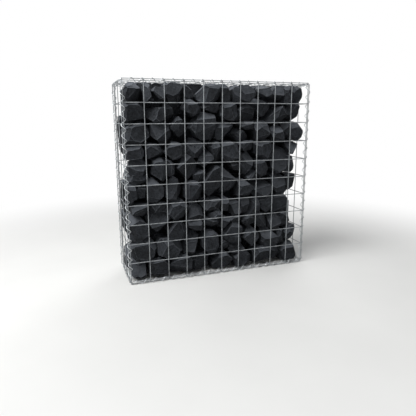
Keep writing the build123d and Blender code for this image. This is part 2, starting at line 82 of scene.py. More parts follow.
# The lesser facets broken off the fronts of the stones of the seen face. For each, the
# middle of its stone along and up the face, which way it looks, in degrees from the right,
# and its width. Places and widths are in hundredths of the face.
FACETS = (
    (5.4, 94.5, 20, 1.4), (17.0, 95.3, 95, 1.6), (25.5, 95.0, 175, 1.8), (44.0, 94.5, 85, 1.2),
    (53.3, 95.0, 95, 1.8), (58.8, 94.5, -90, 2.0), (84.5, 94.7, 100, 1.4), (89.3, 94.8, 170, 1.6),
    (5.5, 85.8, 90, 1.0), (15.5, 86.0, 90, 2.0), (32.5, 86.5, -60, 1.2), (55.0, 85.7, 100, 2.0),
    (18.7, 75.2, 90, 1.0), (18.7, 75.2, 0, 1.2), (28.1, 79.0, 100, 1.8), (28.1, 79.0, -45, 2.0),
    (41.1, 78.5, 95, 1.4), (52.3, 77.0, 100, 1.6), (61.2, 73.3, 130, 1.8), (74.2, 75.7, 90, 1.2),
    (84.0, 74.0, 100, 1.8), (5.2, 66.5, 100, 2.0), (14.7, 66.0, 60, 1.4), (14.7, 66.0, -60, 1.8),
    (25.5, 66.2, 100, 1.4), (42.8, 60.5, -120, 2.0), (56.0, 65.0, 90, 1.0), (75.7, 65.0, 95, 1.6),
    (86.2, 60.2, 170, 1.4), (7.2, 59.2, -90, 1.8), (30.3, 57.2, -60, 1.8), (74.8, 55.0, 100, 1.4),
    (14.3, 46.0, 100, 1.4), (14.3, 46.0, -70, 1.4), (25.4, 46.8, -30, 1.6), (35.3, 44.8, 90, 1.6),
    (35.3, 44.8, -90, 1.2), (45.8, 48.8, -80, 2.0), (76.0, 44.3, 100, 1.8), (6.6, 36.2, 100, 1.4),
    (26.6, 35.5, 105, 2.0), (26.6, 35.5, -50, 2.0), (45.5, 37.2, -90, 1.4), (58.8, 33.5, 100, 2.0),
    (58.8, 33.5, 170, 1.4), (26.0, 24.7, 30, 2.0), (37.0, 27.2, 90, 1.6), (57.5, 22.8, 95, 1.4),
    (84.7, 24.3, 150, 1.6), (8.4, 14.7, 0, 2.0), (8.4, 14.7, 95, 1.6), (21.8, 15.0, 100, 1.4),
    (34.7, 15.8, 95, 1.8), (70.0, 16.8, 60, 1.8), (70.0, 16.8, 120, 1.8), (70.0, 16.8, -60, 1.6),
    (81.8, 14.8, 100, 2.0), (95.0, 15.2, 120, 1.4), (15.5, 6.5, 95, 2.0), (27.8, 6.5, 95, 1.8),
    (27.8, 6.5, 170, 1.4), (52.7, 5.0, 60, 1.4), (75.8, 5.5, 100, 1.2),
)

# The lesser corners split off those stones, in the same way: which corner, and how deep
SPLITS = (
    (5.4, 94.4, 140, 1.6), (17.4, 95.2, 220, 1.2), (25.6, 95.2, 215, 1.6), (43.8, 94.9, 300, 1.6),
    (89.6, 94.8, 48, 1.4), (95.4, 94.8, 25, 1.6), (95.4, 94.8, 140, 1.4), (95.4, 94.8, 322, 1.6),
    (15.6, 86.2, 230, 1.2), (54.4, 85.8, 222, 1.0), (65.6, 84.8, 312, 1.6), (83.4, 84.2, 318, 1.6),
    (6.8, 76.2, 318, 1.6), (18.7, 75.4, 320, 1.6), (41.0, 78.4, 150, 1.6), (41.0, 78.4, 215, 1.4),
    (52.4, 76.8, 45, 1.2), (61.0, 73.6, 48, 1.6), (95.4, 75.2, 140, 1.0), (25.4, 66.4, 228, 1.4),
    (42.8, 61.2, 232, 1.6), (75.8, 65.0, 318, 1.6), (75.8, 65.0, 228, 1.2), (86.2, 60.4, 48, 1.4),
    (17.2, 57.6, 50, 1.4), (17.2, 57.6, 235, 1.2), (75.0, 55.4, 140, 1.2), (75.0, 55.4, 225, 1.6),
    (14.4, 46.2, 45, 1.4), (25.2, 46.8, 222, 1.6), (35.4, 45.2, 48, 1.2), (65.0, 44.6, 318, 1.6),
    (75.6, 44.6, 48, 1.6), (86.4, 46.4, 40, 1.6), (26.4, 35.8, 135, 1.6), (36.6, 33.6, 50, 1.4),
    (58.6, 34.0, 45, 1.6), (26.4, 24.6, 140, 1.2), (57.6, 22.8, 48, 1.4), (8.0, 14.6, 140, 1.0),
    (21.6, 14.8, 140, 1.6), (21.6, 14.8, 48, 1.4), (34.6, 15.4, 48, 1.4), (94.8, 15.6, 140, 1.6),
    (15.4, 5.4, 48, 1.2), (27.4, 5.0, 42, 1.4), (64.4, 4.8, 140, 1.4),
)


def linear(colour):
    """A colour written as sRGB hex, as linear red, green, blue and alpha."""
    straight = []
    for start in (1, 3, 5):
        part = int(colour[start:start + 2], 16) / 255
        straight.append(part / 12.92 if part <= 0.04045 else ((part + 0.055) / 1.055) ** 2.4)
    return (*straight, 1.0)


class WireSizes(bpy.types.PropertyGroup):
    """Sizes and colours of the mesh and its binders."""

    mesh: bpy.props.FloatProperty(
        name="Mesh", description="Spacing of the mesh wires, centre to centre",
        default=0.1, min=0.02, unit="LENGTH")
    mesh_wire: bpy.props.FloatProperty(
        name="Mesh wire", description="Thickness of a mesh wire",
        default=0.004, min=0.001, unit="LENGTH")
    panel_gap: bpy.props.FloatProperty(
        name="Panel gap", description="Clearance between a panel and the panels it laps",
        default=0.0003, min=0.0, unit="LENGTH")
    mesh_wave: bpy.props.FloatProperty(
        name="Mesh wave", description="Width of the band that a mesh wire strays in",
        default=0.0006, min=0.0, unit="LENGTH")
    binder_wire: bpy.props.FloatProperty(
        name="Binder wire", description="Thickness of the binder wire",
        default=0.0035, min=0.001, unit="LENGTH")
    binder_radius: bpy.props.FloatProperty(
        name="Binder radius", description="Radius of the coil at the middle of its wire",
        default=0.0104, min=0.004, unit="LENGTH")
    binder_turns: bpy.props.IntProperty(
        name="Binder turns", description="Turns of the coil in one square of the mesh",
        default=2, min=1)
    seat_gap: bpy.props.FloatProperty(
        name="Seat gap", description="Clearance where a coil hangs on a panel's edge wire",
        default=0.0002, min=0.0, unit="LENGTH")
    lead: bpy.props.FloatProperty(
        name="Lead",
        description="Where in its turn a coil starts, which takes it inside at each cross wire",
        default=0.843, min=0.0, max=1.0, subtype="FACTOR")
    binder_play: bpy.props.FloatProperty(
        name="Binder play", description="Width of the band that a coil's wire strays in",
        default=0.0006, min=0.0, unit="LENGTH")
    upright_setback: bpy.props.FloatProperty(
        name="Upright setback", description="From a corner to the end of an upright coil",
        default=0.006, min=0.0, unit="LENGTH")
    level_setback: bpy.props.FloatProperty(
        name="Level setback", description="From a corner to the end of a level coil",
        default=0.017, min=0.0, unit="LENGTH")
    mesh_colour: bpy.props.FloatVectorProperty(
        name="Mesh zinc", description="Colour of the dull zinc on the mesh",
        subtype="COLOR", size=4, min=0.0, max=1.0, default=linear("#9ca0a3"))
    binder_colour: bpy.props.FloatVectorProperty(
        name="Binder zinc", description="Colour of the newer zinc on the binders",
        subtype="COLOR", size=4, min=0.0, max=1.0, default=linear("#c6cacc"))


class StoneLook(bpy.types.PropertyGroup):
    """How the stones are broken, and their colours."""

    chips: bpy.props.IntProperty(
        name="Chips", description="Most chips knocked off a stone of the seen face",
        default=5, min=0, max=30)
    chip_depth: bpy.props.FloatProperty(
        name="Chip depth", description="How deep the largest chip goes, as a share of the stone",
        default=0.15, min=0.0, max=0.5, subtype="FACTOR")
    arris: bpy.props.FloatProperty(
        name="Arris", description="Width of the worn edge between two broken faces",
        default=0.0011, min=0.0002, unit="LENGTH")
    relief: bpy.props.FloatProperty(
        name="Relief", description="How deep the hollows of a broken face go",
        default=0.0026, min=0.0, unit="LENGTH")
    seen_detail: bpy.props.FloatProperty(
        name="Seen detail", description="Usual length of an edge on a stone near the mesh",
        default=0.0068, min=0.003, unit="LENGTH")
    hidden_detail: bpy.props.FloatProperty(
        name="Hidden detail", description="Usual length of an edge on a stone inside the wall",
        default=0.02, min=0.003, unit="LENGTH")
    seen_rim: bpy.props.FloatProperty(
        name="Seen rim", description="How far in from the mesh a stone counts as seen",
        default=0.075, min=0.0, unit="LENGTH")
    seed: bpy.props.IntProperty(
        name="Seed", description="Seed for how the stones are broken and for their tones",
        default=17, min=0)
    stone: bpy.props.FloatVectorProperty(
        name="Basalt", description="Colour of a freshly broken face",
        subtype="COLOR", size=4, min=0.0, max=1.0, default=linear("#3a3d42"))
    shade: bpy.props.FloatVectorProperty(
        name="Dark basalt", description="Colour of the darkest mottling",
        subtype="COLOR", size=4, min=0.0, max=1.0, default=linear("#282a2d"))
    # Also painted light: laid over upward faces, partly as dust, partly as light from above
    dust_and_painted_light: bpy.props.FloatVectorProperty(
        name="Stone dust", description="Colour of the dust that lies on ledges",
        subtype="COLOR", size=4, min=0.0, max=1.0, default=linear("#64686e"))


class StageLook(bpy.types.PropertyGroup):
    """The floor, the lamps and the backdrop."""

    floor: bpy.props.FloatVectorProperty(
        name="Floor", description="Colour of the floor",
        subtype="COLOR", size=4, min=0.0, max=1.0, default=linear("#dcdcda"))
    floor_lit: bpy.props.FloatProperty(
        name="Lit floor",
        description="How far from the middle of the wall the floor shows its own light and shadow",
        default=1.0, min=0.1, unit="LENGTH")
    sky: bpy.props.FloatProperty(
        name="Sky", description="Strength of the light from all around",
        default=0.15, min=0.0)
    key: bpy.props.FloatProperty(
        name="Key lamp", description="Power of the large lamp overhead",
        default=185.0, min=0.0, unit="POWER")
    fill: bpy.props.FloatProperty(
        name="Fill lamp", description="Power of the lamp beside the camera",
        default=10.0, min=0.0, unit="POWER")
    rear: bpy.props.FloatProperty(
        name="Rear lamp", description="Power of the lamp behind the wall",
        default=85.0, min=0.0, unit="POWER")


# Helpers

def add(tree, kind, *ordered, stops=(), **values):
    """A new node with its settings, its inputs and their links.

    Names in lower case are the node's properties, and the rest are its inputs. Values without
    a name go to the inputs in use, in their order. A node given as a value stands for its
    first output in use. A colour ramp has stops, each with a position and a colour.
    """
    made = tree.nodes.new(kind)
    for key, value in values.items():
        if key[0].islower():
            setattr(made, key, value)
    named = [(made.inputs[key.replace("_", " ")], value)
             for key, value in values.items() if key[0].isupper()]
    in_use = [socket for socket in made.inputs if socket.enabled]
    for socket, value in [*zip(in_use, ordered), *named]:
        if isinstance(value, bpy.types.Node):
            value = next(output for output in value.outputs if output.enabled)
        if isinstance(value, bpy.types.NodeSocket):
            tree.links.new(value, socket)
        else:
            socket.default_value = value
    while stops and len(made.color_ramp.elements) < len(stops):
        made.color_ramp.elements.new(0.5)
    for number, (position, colour) in enumerate(stops):
        made.color_ramp.elements[number].position = position
        made.color_ramp.elements[number].color = colour
    return made


def grey(value):
    """A grey of that value, for a mask."""
    return (value, value, value, 1.0)


def toned(colour, share):
    """A colour made darker or paler by a share of itself."""
    return tuple(min(1.0, part * share) for part in colour[:3]) + (1.0,)


def cells(size):
    """The scale of a pattern with cells of this size in millimetres."""
    return 1000 / size


def coated(tree, colour, coats):
    """A colour with coats laid over it in turn: how each mixes, how strongly, and its colour."""
    for how, strength, coat in coats:
        colour = add(tree, "ShaderNodeMix", strength, colour, coat,
                     data_type="RGBA", blend_type=how)
    return colour


def new_material(name):
    """A material with an empty tree, and the object's own coordinates."""
    material = bpy.data.materials.new(name)
    material.use_nodes = True
    tree = material.node_tree
    tree.nodes.clear()
    return material, tree, add(tree, "ShaderNodeTexCoord").outputs["Object"]


def surface(tree, **values):
    """A material's surface with these inputs, as its output."""
    shader = add(tree, "ShaderNodeBsdfPrincipled", **values)
    add(tree, "ShaderNodeOutputMaterial", Surface=shader)


def tree_with(name, numbers):
    """A Geometry Nodes tree with named number inputs and a material input, and those inputs."""
    tree = bpy.data.node_groups.new(name, "GeometryNodeTree")
    sockets = tree.interface
    sockets.new_socket("Geometry", in_out="INPUT", socket_type="NodeSocketGeometry")
    for label, kind in numbers:
        sockets.new_socket(label, in_out="INPUT", socket_type=kind)
    sockets.new_socket("Material", in_out="INPUT", socket_type="NodeSocketMaterial")
    sockets.new_socket("Geometry", in_out="OUTPUT", socket_type="NodeSocketGeometry")
    return tree, add(tree, "NodeGroupInput").outputs


def joined(tree, first, second):
    """Two geometries as one."""
    both = add(tree, "GeometryNodeJoinGeometry")
    for one in (first, second):
        tree.links.new(one.outputs[0], both.inputs[0])
    return both


def strayed(tree, curves, distance, **pattern):
    """Curves whose points stray by up to about half this distance, after a noise pattern."""
    here = add(tree, "GeometryNodeInputPosition")
    stray = add(tree, "ShaderNodeTexNoise", Vector=here, Detail=1.0, **pattern)
    centred = add(tree, "ShaderNodeVectorMath", stray.outputs["Color"], (0.5, 0.5, 0.5),
                  operation="SUBTRACT")
    scaled = add(tree, "ShaderNodeVectorMath", centred, distance, operation="SCALE")
    return add(tree, "GeometryNodeSetPosition", curves, Offset=scaled)


def round_wire(tree, curves, radius, sides):
    """Round wire along curves, with closed ends."""
    section = add(tree, "GeometryNodeCurvePrimitiveCircle", Resolution=sides, Radius=radius)
    return add(tree, "GeometryNodeCurveToMesh", Curve=curves, Profile_Curve=section,
               Fill_Caps=True)


def end_tree(tree, inputs, geometry):
    """Ends a tree: one real mesh, shaded smooth, with its material."""
    solid = add(tree, "GeometryNodeRealizeInstances", geometry)
    smooth = add(tree, "GeometryNodeSetShadeSmooth", solid)
    finish = add(tree, "GeometryNodeSetMaterial", smooth, Material=inputs["Material"])
    add(tree, "NodeGroupOutput", finish)


def grown(name, tree, values, place):
    """A mesh object grown by a Geometry Nodes tree with these inputs, moved to its place."""
    holder = bpy.data.objects.new(name, bpy.data.meshes.new(name + "_seed"))
    bpy.context.scene.collection.objects.link(holder)
    modifier = holder.modifiers.new("Grow", "NODES")
    modifier.node_group = tree
    sockets = {item.name: item.identifier for item in tree.interface.items_tree
               if item.item_type == "SOCKET" and item.in_out == "INPUT"}
    for label, value in values.items():
        modifier[sockets[label]] = value
    evaluated = holder.evaluated_get(bpy.context.evaluated_depsgraph_get())
    mesh = bpy.data.meshes.new_from_object(evaluated)
    if not mesh.polygons:
        raise RuntimeError(f"{name} grew no mesh")
    bpy.data.objects.remove(holder)
    mesh.name = name
    mesh.transform(place)
    made = bpy.data.objects.new(name, mesh)
    bpy.context.scene.collection.objects.link(made)
    return made


def stands_for(piece, slot, *nodes):
    """The finished piece rides with the wall and takes the place of these CAD nodes."""
    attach(piece, "root")
    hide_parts(*nodes)


# Materials

def mesh_zinc(look):
    """Hot-dip zinc gone dull outdoors: a matt grey with faint spangle and darker weld smuts."""
    material, tree, place = new_material("Weathered galvanised wire")
    spangle = add(tree, "ShaderNodeTexVoronoi", Vector=place, Scale=cells(2.381))
    cloud = add(tree, "ShaderNodeTexNoise", Vector=place, Scale=cells(26.32), Detail=5.0,
                Roughness=0.6)
    grime = add(tree, "ShaderNodeTexNoise", Vector=place, Scale=cells(111.1), Detail=6.0,
                Roughness=0.65)
    zinc = tuple(look.mesh_colour)
    dark = toned(zinc, 0.55)
    clouded = add(tree, "ShaderNodeValToRGB", cloud,
                  stops=[(0.3, dark), (0.5, zinc), (0.72, toned(zinc, 1.28))])
    spangled = add(tree, "ShaderNodeValToRGB", spangle.outputs["Color"],
                   stops=[(0.0, grey(0.82)), (1.0, grey(1.0))])
    smut = add(tree, "ShaderNodeValToRGB", grime, stops=[(0.55, grey(0.0)), (0.75, grey(0.6))])
    colour = coated(tree, clouded, (("MULTIPLY", 1.0, spangled), ("MIX", smut, dark)))
    rough = add(tree, "ShaderNodeMapRange", Value=cloud, To_Min=0.42, To_Max=0.68)
    bump = add(tree, "ShaderNodeBump", Height=cloud, Strength=0.35, Distance=0.0004)
    surface(tree, Base_Color=colour, Roughness=rough, Metallic=0.3, Normal=bump)
    return material


def binder_zinc(look):
    """Newer zinc on the spiral binders: brighter, smoother and only lightly clouded.

    The marks of drawing are finer on real wire, and are drawn as coarse as they need to show.
    """
    material, tree, place = new_material("Bright galvanised spiral wire")
    cloud = add(tree, "ShaderNodeTexNoise", Vector=place, Scale=cells(18.18), Detail=4.0,
                Roughness=0.55)
    drawn = add(tree, "ShaderNodeTexNoise", Vector=place, Scale=cells(1.111), Detail=2.0)
    zinc = tuple(look.binder_colour)
    colour = add(tree, "ShaderNodeValToRGB", cloud, stops=[(0.34, toned(zinc, 0.58)), (0.56, zinc)])
    rough = add(tree, "ShaderNodeMapRange", Value=cloud, To_Min=0.5, To_Max=0.3)
    bump = add(tree, "ShaderNodeBump", Height=drawn, Strength=0.2, Distance=0.0002)
    surface(tree, Base_Color=colour, Roughness=rough, Metallic=0.5, Normal=bump)
    return material


def basalt(look):
    """Broken basalt: near-black, matt, mottled and finely grained, with painted shade in its pits.

    Upward faces are paler, partly for dust on the ledges and partly as painted light from above.
    Real crystals and grains are finer than these, which are as coarse as they need to show.
    """
    material, tree, place = new_material("Broken basalt")
    tone = add(tree, "ShaderNodeAttribute", attribute_name="tone").outputs["Fac"]
    worn = add(tree, "ShaderNodeAttribute", attribute_name="worn").outputs["Fac"]
    facing = add(tree, "ShaderNodeNewGeometry").outputs["Normal"]
    rise = add(tree, "ShaderNodeSeparateXYZ", facing).outputs["Z"]
    mottle = add(tree, "ShaderNodeTexNoise", Vector=place, Scale=cells(38.46), Detail=8.0,
                 Roughness=0.62)
    pitting = add(tree, "ShaderNodeTexNoise", Vector=place, Scale=cells(9.524), Detail=4.0,
                  Roughness=0.6)
    grain = add(tree, "ShaderNodeTexNoise", Vector=place, Scale=cells(4.167), Detail=4.0,
                Roughness=0.7)
    crystal = add(tree, "ShaderNodeTexVoronoi", Vector=place, Scale=cells(1.923))
    patch = add(tree, "ShaderNodeTexNoise", Vector=place, Scale=cells(90.91), Detail=5.0,
                Roughness=0.55)
    mottled = add(tree, "ShaderNodeValToRGB", mottle,
                  stops=[(0.3, tuple(look.shade)), (0.62, tuple(look.stone))])
    own_tone = add(tree, "ShaderNodeValToRGB", tone, stops=[(0.0, grey(0.62)), (1.0, grey(1.0))])
    # Painted shade: darker where the pitting noise is low, in the hollows of the pitted bump
    pit_shade = add(tree, "ShaderNodeValToRGB", pitting,
               stops=[(0.34, grey(0.5)), (0.5, grey(0.85)), (0.66, grey(1.0))])
    speck = add(tree, "ShaderNodeValToRGB", crystal, stops=[(0.0, grey(0.55)), (0.16, grey(0.0))])
    # Painted light: upward faces go paler, partly for dust on ledges, partly for light from above
    ledge = add(tree, "ShaderNodeMapRange", Value=rise, From_Min=0.15, From_Max=0.85)
    patchiness = add(tree, "ShaderNodeValToRGB", patch, stops=[(0.36, grey(0.5)), (0.62, grey(0.9))])
    ledge_dust_and_painted_light = add(tree, "ShaderNodeMath", ledge, patchiness, operation="MULTIPLY")
    rubbed = add(tree, "ShaderNodeValToRGB", grain, stops=[(0.4, grey(0.1)), (0.6, grey(0.75))])
    edge = add(tree, "ShaderNodeMath", worn, rubbed, operation="MULTIPLY")
    dust_and_painted_light = tuple(look.dust_and_painted_light)
    colour = coated(tree, mottled, (
        ("MULTIPLY", 1.0, own_tone), ("MULTIPLY", 1.0, pit_shade),
        ("MIX", speck, dust_and_painted_light), ("MIX", ledge_dust_and_painted_light, dust_and_painted_light), ("MIX", edge, dust_and_painted_light)))
    rough = add(tree, "ShaderNodeMapRange", Value=grain, To_Min=0.72, To_Max=0.95)
    fine = add(tree, "ShaderNodeBump", Height=grain, Strength=0.55, Distance=0.0012)
    pitted = add(tree, "ShaderNodeBump", Height=pitting, Strength=0.9, Distance=0.009, Normal=fine)
    coarse = add(tree, "ShaderNodeBump", Height=mottle, Strength=0.7, Distance=0.012, Normal=pitted)
    surface(tree, Base_Color=colour, Roughness=rough, Specular_IOR_Level=0.15, Normal=coarse)
    return material


# Welded mesh

# Points along a wire, the sides of its section, and how often it strays to and fro in a metre
WIRE_POINTS = 41
WIRE_SIDES = 9
WIRE_WAVES = 7.0

# The smallest and the largest weld, as shares of a wire's radius along X, Y and Z
WELD_LEAST = (1.1, 1.1, 0.7)
WELD_MOST = (1.5, 1.5, 0.95)


def wire_run(tree, inputs, across, along, count, lift, turned):
    """Parallel wires of one direction of a panel, as curves along X or along Y."""
    half_across = add(tree, "ShaderNodeMath", across, -0.5, operation="MULTIPLY")
    reach = add(tree, "ShaderNodeMath", along, inputs["Wire"], operation="ADD")
    half_reach = add(tree, "ShaderNodeMath", reach, 0.5, operation="MULTIPLY")
    minus_reach = add(tree, "ShaderNodeMath", reach, -0.5, operation="MULTIPLY")
    row_axis, wire_axis = ("Y", "X") if turned else ("X", "Y")
    first = add(tree, "ShaderNodeCombineXYZ", **{row_axis: half_across, "Z": lift})
    step = add(tree, "ShaderNodeCombineXYZ", **{row_axis: inputs["Spacing"]})
    row = add(tree, "GeometryNodeMeshLine", Count=count, Start_Location=first, Offset=step)
    start = add(tree, "ShaderNodeCombineXYZ", **{wire_axis: minus_reach})
    end = add(tree, "ShaderNodeCombineXYZ", **{wire_axis: half_reach})
    wire = add(tree, "GeometryNodeCurvePrimitiveLine", Start=start, End=end)
    wires = add(tree, "GeometryNodeInstanceOnPoints", Points=row, Instance=wire)
    return add(tree, "GeometryNodeRealizeInstances", wires)


def mesh_tree():
    """Welded mesh in the XY plane: wires along Y on top, wires along X below, and the welds."""
    tree, inputs = tree_with("Welded mesh", (
        ("Spacing", "NodeSocketFloat"), ("Width", "NodeSocketFloat"), ("Length", "NodeSocketFloat"),
        ("Wires across", "NodeSocketInt"), ("Wires along", "NodeSocketInt"),
        ("Wire", "NodeSocketFloat"), ("Wave", "NodeSocketFloat"), ("Seed", "NodeSocketFloat")))
    radius = add(tree, "ShaderNodeMath", inputs["Wire"], 0.5, operation="MULTIPLY")
    under = add(tree, "ShaderNodeMath", inputs["Wire"], -0.5, operation="MULTIPLY")
    upper = wire_run(tree, inputs, inputs["Width"], inputs["Length"], inputs["Wires across"],
                     radius, False)
    lower = wire_run(tree, inputs, inputs["Length"], inputs["Width"], inputs["Wires along"],
                     under, True)
    pieces = add(tree, "GeometryNodeResampleCurve", joined(tree, upper, lower), Count=WIRE_POINTS)
    waved = strayed(tree, pieces, inputs["Wave"],
                    noise_dimensions="4D", W=inputs["Seed"], Scale=WIRE_WAVES)
    rods = round_wire(tree, waved, radius, WIRE_SIDES)
    crossings = add(tree, "GeometryNodeMeshGrid", Size_X=inputs["Width"], Size_Y=inputs["Length"],
                    Vertices_X=inputs["Wires across"], Vertices_Y=inputs["Wires along"])
    bead = add(tree, "GeometryNodeMeshIcoSphere", Radius=radius, Subdivisions=2)
    size = add(tree, "FunctionNodeRandomValue", WELD_LEAST, WELD_MOST, data_type="FLOAT_VECTOR")
    welds = add(tree, "GeometryNodeInstanceOnPoints", Points=crossings, Instance=bead, Scale=size)
    end_tree(tree, inputs, joined(tree, rods, welds))
    return tree


def panel_place(name):
    """How a panel lies: the matrix that puts it there, its width and its length."""
    low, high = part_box(name)
    middle = (low + high) / 2
    size = high - low
    outward = {
        "front_panel": -BACK, "back_panel": BACK, "left_end_panel": -RIGHT,
        "right_end_panel": RIGHT, "base_panel": -UP, "lid_panel": UP,
    }[name]
    along = RIGHT if name in ("base_panel", "lid_panel") else UP
    across = along.cross(outward)
    place = Matrix.Translation(middle) @ Matrix((across, along, outward)).transposed().to_4x4()
    return place, abs(size.dot(across)), abs(size.dot(along))


class GABION_OT_welded_mesh(bpy.types.Operator):
    """Six panels of welded round wire, each in the place of its plain panel"""

    bl_idname = "gabion.welded_mesh"
    bl_label = "Welded Mesh"

    def execute(self, context):
        sizes = context.scene.gabion_wires
        material = mesh_zinc(sizes)
        tree = mesh_tree()
        for number, name in enumerate(PANELS):
            place, width, length = panel_place(name)
            width -= sizes.mesh_wire
            length -= sizes.mesh_wire
            piece = grown(name.replace("panel", "mesh"), tree, {
                "Spacing": sizes.mesh, "Width": width, "Length": length,
                "Wires across": round(width / sizes.mesh) + 1,
                "Wires along": round(length / sizes.mesh) + 1,
                "Wire": sizes.mesh_wire, "Wave": sizes.mesh_wave, "Seed": float(number),
                "Material": material}, place)
            stands_for(piece, "mesh_wire", name)
        return {"FINISHED"}


# Spiral binders

# Points in a turn of a coil, the sides of its wire, and how often it strays in a metre
COIL_POINTS = 20
COIL_SIDES = 8
COIL_WAVES = 14.0


def coil_tree():
    """A coil round the Z axis, with a little play in its radius, and its two cut ends."""
    tree, inputs = tree_with("Spiral binder", (
        ("Height", "NodeSocketFloat"), ("Turns", "NodeSocketFloat"), ("Radius", "NodeSocketFloat"),
        ("Wire", "NodeSocketFloat"), ("Start turn", "NodeSocketFloat"),
        ("Play", "NodeSocketFloat")))
    coil = add(tree, "GeometryNodeCurveSpiral", Resolution=COIL_POINTS, Rotations=inputs["Turns"],
               Start_Radius=inputs["Radius"], End_Radius=inputs["Radius"], Height=inputs["Height"])
    angle = add(tree, "ShaderNodeMath", inputs["Start turn"], 2 * math.pi, operation="MULTIPLY")
    spin = add(tree, "ShaderNodeCombineXYZ", Z=angle)
    started = add(tree, "GeometryNodeTransform", coil, Rotation=spin)
    played = strayed(tree, started, inputs["Play"], Scale=COIL_WAVES)
    radius = add(tree, "ShaderNodeMath", inputs["Wire"], 0.5, operation="MULTIPLY")
    end_tree(tree, inputs, round_wire(tree, played, radius, COIL_SIDES))
    return tree


def coil_places(sizes):
    """Each binder's matrix and run. Each kind of edge has one, and the others are half turns."""
    # From the middle of a panel's edge wire to the middle plane of the panel that laps it: half
    # a wire, the gap and one more wire
    lap = 1.5 * sizes.mesh_wire + sizes.panel_gap
    half = sizes.mesh_wire / 2
    low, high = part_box("front_panel")
    rear_low, rear_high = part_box("back_panel")
    left = low.x + half
    bottom = low.z + half
    front = (low.y + high.y) / 2
    middle = Vector(((low.x + high.x) / 2, (low.y + rear_high.y) / 2, (low.z + high.z) / 2))
    length = high.x - low.x - sizes.mesh_wire
    height = high.z - low.z - sizes.mesh_wire
    depth = (rear_low.y + rear_high.y) / 2 - front
    # For each kind: its own binder's name and those of its half turns about UP, RIGHT and BACK,
    # the middle of the edge, two directions across it, its run, the setback of the coil, and
    # where the wire that the coil hangs on lies across the edge
    kinds = (
        (("left_front", "right_back", "left_back", "right_front"),
         Vector((left, front, middle.z)), RIGHT, BACK, height, sizes.upright_setback,
         Vector((-lap - half, 0))),
        (("bottom_front", "bottom_back", "top_back", "top_front"),
         Vector((middle.x, front, bottom)), BACK, UP, length, sizes.level_setback,
         Vector((0, -lap - half))),
        (("bottom_left", "bottom_right", "top_left", "top_right"),
         Vector((left, middle.y, bottom)), RIGHT, UP, depth, sizes.level_setback,
         Vector((0, -lap + half))),
    )
    for labels, corner, inward, down, run, setback, wire in kinds:
        along = inward.cross(down)
        out = wire.length + half + sizes.seat_gap + sizes.binder_wire / 2 - sizes.binder_radius
        axis = wire.normalized() * out
        start = corner - along * (run / 2 - setback) + inward * axis.x + down * axis.y
        place = Matrix.Translation(start) @ Matrix((inward, down, along)).transposed().to_4x4()
        for label, direction in zip(labels, (None, UP, RIGHT, BACK)):
            half_turn = Matrix.Identity(4)
            if direction:
                half_turn = (Matrix.Translation(middle) @ Matrix.Rotation(math.pi, 4, direction)
                             @ Matrix.Translation(-middle))
            yield label + "_binder", half_turn @ place, run - 2 * setback, setback


class GABION_OT_spiral_binders(bpy.types.Operator):
    """Twelve coils of bright wire, one along each edge of the basket"""

    bl_idname = "gabion.spiral_binders"
    bl_label = "Spiral Binders"

    def execute(self, context):
        sizes = context.scene.gabion_wires
        material = binder_zinc(sizes)
        tree = coil_tree()
        pitch = sizes.mesh / sizes.binder_turns
        for name, place, run, setback in coil_places(sizes):
            piece = grown(name.replace("binder", "spiral"), tree, {
                "Height": run, "Turns": run / pitch, "Radius": sizes.binder_radius,
                "Wire": sizes.binder_wire, "Start turn": setback / pitch - sizes.lead,
                "Play": sizes.binder_play, "Material": material}, place)
            stands_for(piece, "binder_wire", name)
        return {"FINISHED"}


# Stones

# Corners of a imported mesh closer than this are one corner, and faces that turn less are one face
SAME_CORNER = 1e-5
SAME_FACE = math.radians(1.0)

# How far a table's place may lie from the middle of its stone
SAME_STONE = 0.034

# A face looks out of the wall when its normal has at least this share along that way
OUTWARD_SHARE = 0.6

# A facet takes no more than this share of the front that it is broken off
LARGEST_FACET = 0.7

# Splits and facets by chance: bearings and slopes in degrees, depths and widths in hundredths
# of the face. A stone that the table leaves out gets the first facets, each so much further
# round than the last, and every stone gets one at its foot.
SPLIT_DEPTH = (0.3, 1.0)
FIRST_BEARING = (60, 200)
FIRST_WIDTH = (0.5, 1.5)
FIRST_ON_FACE = 1
FIRST_AT_REAR = 3
NEXT_BEARING = 70
FOOT_BEARING = (-110, -20)
FOOT_WIDTH = (0.6, 1.8)
FACET_SLOPE = (38, 58)

# Facets round the sides that show at the ends and on top of the wall: their bearings, by how
# much these vary, their slopes in degrees and their widths in metres, and how far in a stone's
# middle may lie, in seen rims
END_BEARINGS = (0, 90, 180, 270)
END_TURN = (-25, 25)
END_WIDTH = (0.005, 0.02)
END_SLOPE = (30, 60)
END_REACH = 1.6

# How far a chip's direction wanders from its corner's, and its depth as a share of the deepest
CHIP_WANDER = 0.3
CHIP_SHARE = (0.25, 1.0)

# How many swells, ledges, bends of the ledges and grains of grit a metre of broken face has,
# and the shares of the relief that swells, ledges and grit make
SWELLS = 13
LEDGES = 30
BENDS = 20
GRIT = 110
SWELL_SHARE = 0.55
LEDGE_SHARE = 0.27
GRIT_SHARE = 0.18

# How far a ledge bends, in ledges, and how far apart the noise for each axis is read
BEND = 1.4
AXIS_STEP = 9

# An edge that turns more than this is worn
SHARP_EDGE = math.radians(8)

# Edges are halved while they are longer than this many times the detail, in so many passes
HALVE_OVER = 1.35
HALVINGS = 7

# Relief on worn and hidden parts of a stone, as a share of the rest
CALM_RELIEF = 0.3

# How far the pattern of each stone's broken faces is shifted, at most
PATTERN_SHIFT = 40


